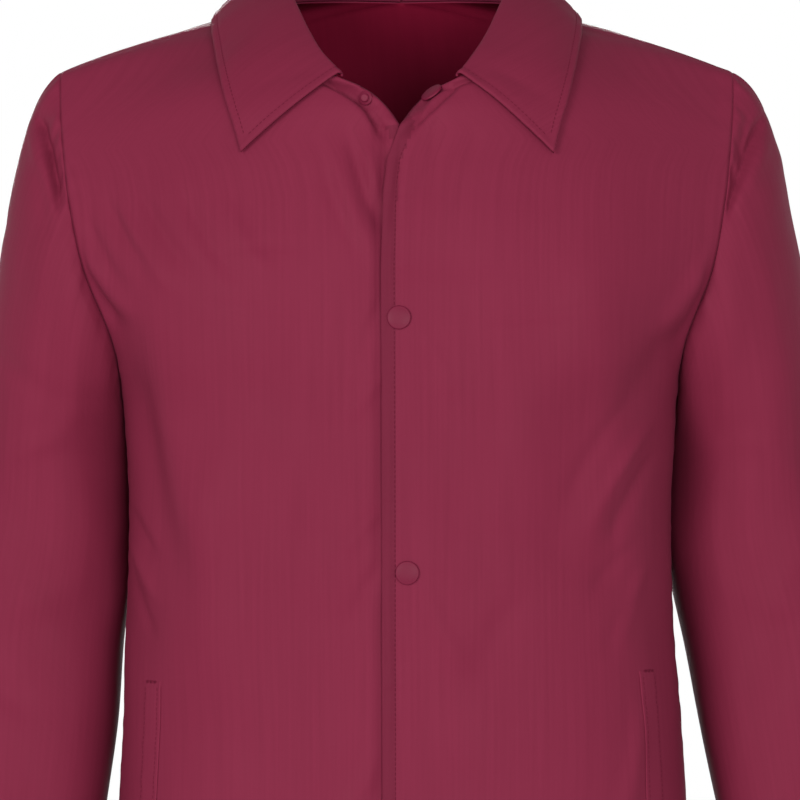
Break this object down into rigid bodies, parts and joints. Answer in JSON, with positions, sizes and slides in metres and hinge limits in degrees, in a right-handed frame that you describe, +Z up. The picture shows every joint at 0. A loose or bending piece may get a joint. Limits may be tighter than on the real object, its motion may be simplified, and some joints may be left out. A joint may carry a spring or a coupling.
{
  "type": "coach jacket",
  "caption": "Snap-front coach jacket with a pointed turned-down collar, set-in sleeves and upright welt pockets, filled out in its worn shape and open inside.",
  "frame": {"origin": "middle of the neck base, level with the points where the shoulder seams meet the neck, where the wearer carries the jacket", "axes": "+Z up, the front of the jacket faces -Y, the wearer's left is +X"},
  "size_m": [0.6129, 0.2633, 0.7707],
  "materials": {
    "back": "smooth nylon taffeta with a soft sheen",
    "collar": "smooth nylon taffeta with a soft sheen",
    "front_left": "smooth nylon taffeta with a soft sheen",
    "front_right": "smooth nylon taffeta with a soft sheen",
    "pocket_welt_left": "smooth nylon taffeta with a soft sheen",
    "pocket_welt_right": "smooth nylon taffeta with a soft sheen",
    "sleeve_left": "smooth nylon taffeta with a soft sheen",
    "sleeve_right": "smooth nylon taffeta with a soft sheen",
    "snap_cap_1": "satin enamel",
    "snap_cap_2": "satin enamel",
    "snap_cap_3": "satin enamel",
    "snap_cap_4": "satin enamel",
    "snap_cap_top": "satin enamel",
    "snap_stud_top": "satin enamel"
  },
  "bodies": {
    "root": {"back": "back", "collar": "collar", "front_left": "front_left", "front_right": "front_right", "pocket_welt_left": "pocket_welt_left", "pocket_welt_right": "pocket_welt_right", "sleeve_left": "sleeve_left", "sleeve_right": "sleeve_right", "snap_cap_1": "snap_cap_1", "snap_cap_2": "snap_cap_2", "snap_cap_3": "snap_cap_3", "snap_cap_4": "snap_cap_4", "snap_cap_top": "snap_cap_top", "snap_stud_top": "snap_stud_top"}
  },
  "joints": []
}
